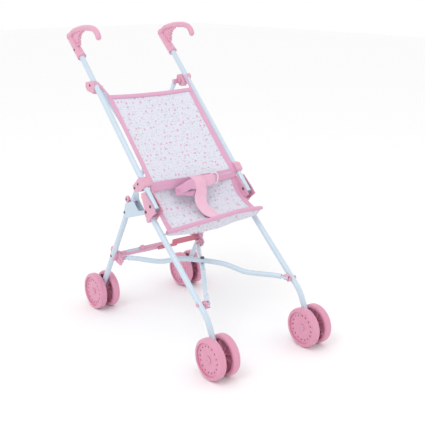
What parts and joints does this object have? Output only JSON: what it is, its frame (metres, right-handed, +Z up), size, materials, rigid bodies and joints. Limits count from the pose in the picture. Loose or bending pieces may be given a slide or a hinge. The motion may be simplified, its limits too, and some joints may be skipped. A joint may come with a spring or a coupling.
{
  "type": "doll stroller",
  "caption": "Folding doll stroller with hooked push grips, a printed cloth sling seat, crossed rear tubes, crossed lower arms and double wheels.",
  "frame": {"origin": "on the ground, at the middle of the open stroller's width and length", "axes": "+Z up, the front of the stroller towards -Y, X across from its left frame (-X) to its right frame (+X) as seen from the front"},
  "size_m": [0.2536, 0.5087, 0.5568],
  "materials": {
    "white_steel": "gloss white paint",
    "white_sheet": "gloss white paint on pressed sheet",
    "pink_plastic": "moulded, satin",
    "wheel_plastic": "moulded, satin",
    "rose_plastic": "moulded, satin",
    "dark_steel": "dark plated",
    "plain_steel": "bright plated",
    "print_fabric": "woven cotton with a small flower print",
    "pink_fabric": "woven tape"
  },
  "bodies": {
    "back_rivet": {"back_rivet": "dark_steel"},
    "back_tube_left": {"back_tube_left": "white_steel"},
    "upper_knuckle_left": {"upper_knuckle_left": "pink_plastic"},
    "handle_left": {"handle_tube_left": "white_steel", "handle_grip_left": "pink_plastic", "handle_fasteners_left": "dark_steel", "upper_clamp_left": "pink_plastic", "middle_clamp_left": "pink_plastic", "back_panel": "print_fabric", "lumbar_band": "pink_fabric"},
    "lower_knuckle_left": {"lower_knuckle_left": "pink_plastic"},
    "rear_leg_left": {"rear_leg_left": "white_steel", "gusset_left": "white_sheet", "gusset_knob_left": "pink_plastic", "rear_clamp_left": "pink_plastic", "rear_leg_fasteners_left": "dark_steel"},
    "arm_knuckle_left": {"arm_knuckle_left": "pink_plastic"},
    "lower_arm_left": {"lower_arm_left": "white_steel"},
    "front_fork_left": {"front_fork_left": "pink_plastic"},
    "front_leg_left": {"front_leg_left": "white_steel", "hinge_bracket_left": "pink_plastic", "bracket_rivets_left": "dark_steel", "seat_panel": "print_fabric", "harness": "pink_fabric"},
    "latch_left": {"latch_left": "pink_plastic", "latch_strip": "white_sheet", "latch_cover": "pink_plastic"},
    "front_wheels_left": {"front_wheel_outer_left": "wheel_plastic", "front_wheel_inner_left": "wheel_plastic", "front_axle_left": "plain_steel"},
    "rear_wheels_left": {"rear_wheel_outer_left": "wheel_plastic", "rear_wheel_inner_left": "wheel_plastic", "rear_axle_left": "plain_steel"},
    "back_tube_right": {"back_tube_right": "white_steel"},
    "upper_knuckle_right": {"upper_knuckle_right": "pink_plastic"},
    "handle_right": {"handle_tube_right": "white_steel", "handle_grip_right": "pink_plastic", "handle_fasteners_right": "dark_steel", "upper_clamp_right": "pink_plastic", "middle_clamp_right": "pink_plastic"},
    "lower_knuckle_right": {"lower_knuckle_right": "pink_plastic"},
    "rear_leg_right": {"rear_leg_right": "white_steel", "gusset_right": "white_sheet", "gusset_knob_right": "pink_plastic", "rear_clamp_right": "pink_plastic", "rear_leg_fasteners_right": "dark_steel"},
    "arm_knuckle_right": {"arm_knuckle_right": "pink_plastic"},
    "lower_arm_right": {"lower_arm_right": "white_steel", "lower_bolt": "dark_steel"},
    "front_fork_right": {"front_fork_right": "pink_plastic"},
    "front_leg_right": {"front_leg_right": "white_steel", "hinge_bracket_right": "pink_plastic", "bracket_rivets_right": "dark_steel"},
    "latch_right": {"latch_right": "rose_plastic"},
    "front_wheels_right": {"front_wheel_outer_right": "wheel_plastic", "front_wheel_inner_right": "wheel_plastic", "front_axle_right": "plain_steel"},
    "rear_wheels_right": {"rear_wheel_outer_right": "wheel_plastic", "rear_wheel_inner_right": "wheel_plastic", "rear_axle_right": "plain_steel"}
  },
  "joints": [
    {"name": "fold", "type": "hinge", "parent": "back_rivet", "child": "back_tube_left", "pos_m": [0, 0.14775, 0.28425], "axis": [0, 0.9899, -0.1414], "range_deg": [0, 21.87], "deforming": ["back_panel", "lumbar_band", "seat_panel", "harness"]},
    {"name": "back_tube_right_turn", "type": "hinge", "parent": "back_rivet", "child": "back_tube_right", "pos_m": [0, 0.14775, 0.28425], "axis": [0, -0.9899, 0.1414], "range_deg": [0, 21.91]},
    {"name": "upper_knuckle_left_turn", "type": "hinge", "parent": "back_tube_left", "child": "upper_knuckle_left", "pos_m": [-0.089, 0.17, 0.44], "axis": [0, -0.9899, 0.1414], "range_deg": [0, 21.91]},
    {"name": "handle_left_tilt", "type": "hinge", "parent": "upper_knuckle_left", "child": "handle_left", "pos_m": [-0.0967, 0.17, 0.44], "axis": [1, 0, 0], "range_deg": [0, 5.61]},
    {"name": "lower_knuckle_left_turn", "type": "hinge", "parent": "back_tube_right", "child": "lower_knuckle_left", "pos_m": [-0.089, 0.1255, 0.1285], "axis": [0, 0.9899, -0.1414], "range_deg": [0, 21.91]},
    {"name": "rear_leg_left_tilt", "type": "hinge", "parent": "lower_knuckle_left", "child": "rear_leg_left", "pos_m": [-0.0967, 0.1255, 0.1285], "axis": [1, 0, 0], "range_deg": [-7.28, 0]},
    {"name": "arm_knuckle_left_tilt", "type": "hinge", "parent": "rear_leg_left", "child": "arm_knuckle_left", "pos_m": [-0.0967, 0.0996, 0.1134], "axis": [1, 0, 0], "range_deg": [-13.67, 0]},
    {"name": "lower_arm_left_turn", "type": "hinge", "parent": "arm_knuckle_left", "child": "lower_arm_left", "pos_m": [-0.089, 0.0996, 0.1134], "axis": [0, 0.0015, -1], "range_deg": [0, 24.94]},
    {"name": "front_fork_right_turn", "type": "hinge", "parent": "lower_arm_left", "child": "front_fork_right", "pos_m": [0.089, -0.17, 0.113], "axis": [0, -0.0015, 1], "range_deg": [0, 24.94]},
    {"name": "front_leg_right_tilt", "type": "hinge", "parent": "front_fork_right", "child": "front_leg_right", "pos_m": [0.098, -0.17, 0.113], "axis": [1, 0, 0], "range_deg": [-11.57, 0]},
    {"name": "latch_left_fold", "type": "hinge", "parent": "rear_leg_left", "child": "latch_left", "pos_m": [-0.093, 0.113, 0.12125], "axis": [0, -0.864, -0.5035], "range_deg": [0, 72.62]},
    {"name": "rear_wheels_left_spin", "type": "hinge", "parent": "rear_leg_left", "child": "rear_wheels_left", "pos_m": [-0.105, 0.1643, 0.0362], "axis": [1, 0, 0], "continuous": true},
    {"name": "front_wheels_left_spin", "type": "hinge", "parent": "front_leg_left", "child": "front_wheels_left", "pos_m": [-0.105, -0.2183, 0.0362], "axis": [1, 0, 0], "continuous": true},
    {"name": "upper_knuckle_right_turn", "type": "hinge", "parent": "back_tube_right", "child": "upper_knuckle_right", "pos_m": [0.089, 0.17, 0.44], "axis": [0, 0.9899, -0.1414], "range_deg": [0, 21.91]},
    {"name": "handle_right_tilt", "type": "hinge", "parent": "upper_knuckle_right", "child": "handle_right", "pos_m": [0.0967, 0.17, 0.44], "axis": [1, 0, 0], "range_deg": [0, 5.61]},
    {"name": "lower_knuckle_right_turn", "type": "hinge", "parent": "back_tube_left", "child": "lower_knuckle_right", "pos_m": [0.089, 0.1255, 0.1285], "axis": [0, -0.9899, 0.1414], "range_deg": [0, 21.91]},
    {"name": "rear_leg_right_tilt", "type": "hinge", "parent": "lower_knuckle_right", "child": "rear_leg_right", "pos_m": [0.0967, 0.1255, 0.1285], "axis": [1, 0, 0], "range_deg": [-7.28, 0]},
    {"name": "arm_knuckle_right_tilt", "type": "hinge", "parent": "rear_leg_right", "child": "arm_knuckle_right", "pos_m": [0.0967, 0.0996, 0.1134], "axis": [1, 0, 0], "range_deg": [-13.67, 0]},
    {"name": "lower_arm_right_turn", "type": "hinge", "parent": "arm_knuckle_right", "child": "lower_arm_right", "pos_m": [0.089, 0.0996, 0.1134], "axis": [0, -0.0015, 1], "range_deg": [0, 24.94]},
    {"name": "front_fork_left_turn", "type": "hinge", "parent": "lower_arm_right", "child": "front_fork_left", "pos_m": [-0.089, -0.17, 0.113], "axis": [0, 0.0015, -1], "range_deg": [0, 24.94]},
    {"name": "front_leg_left_tilt", "type": "hinge", "parent": "front_fork_left", "child": "front_leg_left", "pos_m": [-0.098, -0.17, 0.113], "axis": [1, 0, 0], "range_deg": [-11.57, 0]},
    {"name": "latch_right_fold", "type": "hinge", "parent": "rear_leg_right", "child": "latch_right", "pos_m": [0.093, 0.113, 0.12125], "axis": [0, 0.864, 0.5035], "range_deg": [0, 72.62]},
    {"name": "rear_wheels_right_spin", "type": "hinge", "parent": "rear_leg_right", "child": "rear_wheels_right", "pos_m": [0.105, 0.1643, 0.0362], "axis": [1, 0, 0], "continuous": true},
    {"name": "front_wheels_right_spin", "type": "hinge", "parent": "front_leg_right", "child": "front_wheels_right", "pos_m": [0.105, -0.2183, 0.0362], "axis": [1, 0, 0], "continuous": true}
  ],
  "couplings": [
    {"joint": "back_tube_right_turn", "follows": "fold", "ratio": 1},
    {"joint": "upper_knuckle_left_turn", "follows": "fold", "ratio": 1},
    {"joint": "handle_left_tilt", "follows": "fold", "ratio": 0.25625},
    {"joint": "lower_knuckle_left_turn", "follows": "fold", "ratio": 1},
    {"joint": "rear_leg_left_tilt", "follows": "fold", "ratio": -0.33225},
    {"joint": "arm_knuckle_left_tilt", "follows": "fold", "ratio": -0.62412},
    {"joint": "lower_arm_left_turn", "follows": "fold", "ratio": 1.1383},
    {"joint": "front_fork_right_turn", "follows": "fold", "ratio": 1.1383},
    {"joint": "front_leg_right_tilt", "follows": "fold", "ratio": -0.52828},
    {"joint": "latch_left_fold", "follows": "fold", "ratio": 3.3146},
    {"joint": "upper_knuckle_right_turn", "follows": "fold", "ratio": 1},
    {"joint": "handle_right_tilt", "follows": "fold", "ratio": 0.25625},
    {"joint": "lower_knuckle_right_turn", "follows": "fold", "ratio": 1},
    {"joint": "rear_leg_right_tilt", "follows": "fold", "ratio": -0.33225},
    {"joint": "arm_knuckle_right_tilt", "follows": "fold", "ratio": -0.62412},
    {"joint": "lower_arm_right_turn", "follows": "fold", "ratio": 1.1383},
    {"joint": "front_fork_left_turn", "follows": "fold", "ratio": 1.1383},
    {"joint": "front_leg_left_tilt", "follows": "fold", "ratio": -0.52828},
    {"joint": "latch_right_fold", "follows": "fold", "ratio": 3.3146}
  ]
}
